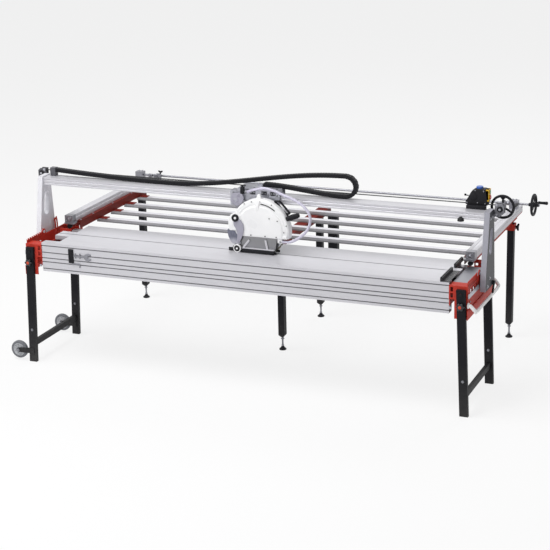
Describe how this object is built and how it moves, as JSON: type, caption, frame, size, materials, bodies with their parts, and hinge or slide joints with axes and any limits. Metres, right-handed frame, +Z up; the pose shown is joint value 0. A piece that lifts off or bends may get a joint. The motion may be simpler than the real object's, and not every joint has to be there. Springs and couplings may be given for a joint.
{
  "type": "tile cutter",
  "caption": "Long bridge wet saw for tiles and slabs: slotted table on folding legs, tilting bridge with a sliding saw head, belt drive, tube table behind.",
  "frame": {"origin": "middle of the outline, on the floor", "axes": "+X along the cut to the right, +Y from the front to the back, +Z up"},
  "size_m": [3.4124, 1.707, 1.392],
  "materials": {
    "aluminium": "anodised",
    "red_paint": "powder coat",
    "black_paint": "powder coat",
    "zinc": "zinc plated",
    "dark_tray": "satin",
    "dark_alu": "black anodised",
    "white_shell": "satin",
    "white_tube": "gloss paint",
    "black_plastic": "satin",
    "rubber": "matt",
    "tyre": "matt",
    "yellow": "satin",
    "green": "satin",
    "red_plastic": "satin",
    "blue": "satin",
    "steel": "ground",
    "motor_grey": "satin",
    "hose": "clear, tinted"
  },
  "bodies": {
    "base": {"front_beam": "aluminium", "rear_beam": "aluminium", "table_planks": "aluminium", "cross_members": "aluminium", "water_tray": "dark_tray", "left_end_frame": "red_paint", "right_end_frame": "red_paint", "side_beams": "red_paint", "middle_beam": "red_paint", "support_tubes": "aluminium", "side_rails": "aluminium", "rail_end_caps": "black_plastic", "zinc_brackets": "zinc", "bearing_blocks": "zinc", "cross_fence": "dark_alu", "transport_handle": "white_tube", "frame_bolts": "zinc", "support_legs": "black_paint"},
    "left_foot": {"left_foot": "black_plastic"},
    "middle_foot": {"middle_foot": "black_plastic"},
    "right_foot": {"right_foot": "black_plastic"},
    "front_foot": {"front_foot": "black_plastic"},
    "left_legs": {"left_leg_frame": "black_paint", "wheel_brackets": "black_paint"},
    "right_legs": {"right_leg_frame": "black_paint"},
    "front_wheel": {"front_wheel": "tyre"},
    "rear_wheel": {"rear_wheel": "tyre"},
    "left_star_knob": {"left_star_knob": "black_plastic"},
    "right_star_knob": {"right_star_knob": "black_plastic"},
    "wing_knob": {"wing_knob": "black_plastic"},
    "rear_drive": {"rear_shaft": "zinc", "rear_handwheel": "black_plastic"},
    "bridge": {"bridge_beam": "aluminium", "bridge_uprights": "zinc", "pulley_brackets": "zinc", "drive_belt": "rubber", "control_box": "black_plastic", "switch_plate": "yellow", "power_inlet": "blue", "chain_upper": "black_plastic"},
    "idler": {"idler_pulley": "zinc"},
    "drive": {"drive_shaft": "zinc", "front_handwheel": "black_plastic"},
    "start_button": {"start_button": "green"},
    "stop_button": {"stop_button": "red_plastic"},
    "left_tilt_lever": {"left_tilt_lever": "black_plastic"},
    "right_tilt_lever": {"right_tilt_lever": "black_plastic"},
    "carriage": {"carriage": "zinc", "water_hose": "hose", "chain_lower": "black_plastic"},
    "head": {"head_arm": "zinc", "motor": "motor_grey", "blade_guard": "white_shell", "guard_knob": "black_plastic", "head_grip": "black_plastic"},
    "blade": {"saw_blade": "steel", "blade_spindle": "steel"},
    "shoe": {"base_shoe": "black_plastic"},
    "roller": {"shoe_roller": "white_shell"},
    "chain_loop": {"chain_loop": "black_plastic"}
  },
  "joints": [
    {"name": "bridge_tilt", "type": "hinge", "parent": "base", "child": "bridge", "pos_m": [0.00625, -0.5515, 0.86], "axis": [1, 0, 0], "range_deg": [0, 45]},
    {"name": "carriage_travel", "type": "slide", "parent": "bridge", "child": "carriage", "axis": [1, 0, 0], "range_m": [-1.25, 1.12], "deforming": ["chain_upper", "chain_lower"]},
    {"name": "chain_loop_travel", "type": "slide", "parent": "bridge", "child": "chain_loop", "axis": [1, 0, 0], "range_m": [-0.63, 0.57]},
    {"name": "head_lift", "type": "hinge", "parent": "carriage", "child": "head", "pos_m": [-0.09975, -0.5245, 1.194], "axis": [0, -1, 0], "range_deg": [0, 15], "deforming": ["water_hose"]},
    {"name": "shoe_rise", "type": "slide", "parent": "head", "child": "shoe", "axis": [0, 0, 1], "range_m": [0, 0.055]},
    {"name": "roller_spin", "type": "hinge", "parent": "shoe", "child": "roller", "pos_m": [-0.06275, -0.5945, 0.8875], "axis": [0, 1, 0], "continuous": true},
    {"name": "blade_spin", "type": "hinge", "parent": "head", "child": "blade", "pos_m": [0.09425, -0.5515, 1.021], "axis": [0, 1, 0], "continuous": true},
    {"name": "drive_turn", "type": "hinge", "parent": "bridge", "child": "drive", "pos_m": [1.64025, -0.3745, 1.234], "axis": [0, 1, 0], "continuous": true},
    {"name": "idler_turn", "type": "hinge", "parent": "bridge", "child": "idler", "pos_m": [-1.62775, -0.3745, 1.234], "axis": [0, 1, 0], "continuous": true},
    {"name": "left_tilt_clamp", "type": "hinge", "parent": "bridge", "child": "left_tilt_lever", "pos_m": [-1.60375, -0.40393, 0.76046], "axis": [1, 0, 0], "range_deg": [-60, 60]},
    {"name": "right_tilt_clamp", "type": "hinge", "parent": "bridge", "child": "right_tilt_lever", "pos_m": [1.61625, -0.40393, 0.76046], "axis": [1, 0, 0], "range_deg": [-60, 60]},
    {"name": "start_press", "type": "slide", "parent": "bridge", "child": "start_button", "axis": [-1, 0, 0], "range_m": [0, 0.004], "stiffness_N_per_m": 600},
    {"name": "stop_press", "type": "slide", "parent": "bridge", "child": "stop_button", "axis": [-1, 0, 0], "range_m": [0, 0.004], "stiffness_N_per_m": 600},
    {"name": "left_leg_fold", "type": "hinge", "parent": "base", "child": "left_legs", "pos_m": [-1.50484, -0.8145, 0.795], "axis": [0, -1, 0], "range_deg": [0, 72]},
    {"name": "right_leg_fold", "type": "hinge", "parent": "base", "child": "right_legs", "pos_m": [1.51734, -0.8145, 0.795], "axis": [0, 1, 0], "range_deg": [0, 72]},
    {"name": "front_wheel_spin", "type": "hinge", "parent": "left_legs", "child": "front_wheel", "pos_m": [-1.64375, -0.8105, 0.075], "axis": [0, 1, 0], "continuous": true},
    {"name": "rear_wheel_spin", "type": "hinge", "parent": "left_legs", "child": "rear_wheel", "pos_m": [-1.64375, -0.2065, 0.075], "axis": [0, 1, 0], "continuous": true},
    {"name": "left_star_knob_turn", "type": "hinge", "parent": "left_legs", "child": "left_star_knob", "pos_m": [-1.50746, -0.8345, 0.723], "axis": [0, 1, 0], "continuous": true},
    {"name": "right_star_knob_turn", "type": "hinge", "parent": "right_legs", "child": "right_star_knob", "pos_m": [1.51996, -0.8345, 0.723], "axis": [0, 1, 0], "continuous": true},
    {"name": "wing_knob_turn", "type": "hinge", "parent": "base", "child": "wing_knob", "pos_m": [1.46875, 0.7125, 0.812], "axis": [1, 0, 0], "continuous": true},
    {"name": "rear_drive_turn", "type": "hinge", "parent": "base", "child": "rear_drive", "pos_m": [1.45225, 0.7325, 0.974], "axis": [1, 0, 0], "continuous": true},
    {"name": "left_foot_screw", "type": "slide", "parent": "base", "child": "left_foot", "axis": [0, 0, 1], "range_m": [-0.01, 0.02]},
    {"name": "middle_foot_screw", "type": "slide", "parent": "base", "child": "middle_foot", "axis": [0, 0, 1], "range_m": [-0.01, 0.02]},
    {"name": "right_foot_screw", "type": "slide", "parent": "base", "child": "right_foot", "axis": [0, 0, 1], "range_m": [-0.01, 0.02]},
    {"name": "front_foot_screw", "type": "slide", "parent": "base", "child": "front_foot", "axis": [0, 0, 1], "range_m": [-0.01, 0.02]}
  ],
  "couplings": [
    {"joint": "chain_loop_travel", "follows": "carriage_travel", "ratio": 0.5},
    {"joint": "drive_turn", "follows": "carriage_travel", "rad_per_m": 46.512},
    {"joint": "idler_turn", "follows": "carriage_travel", "rad_per_m": 46.512},
    {"joint": "shoe_rise", "follows": "bridge_tilt", "m_per_rad": 0.07}
  ]
}
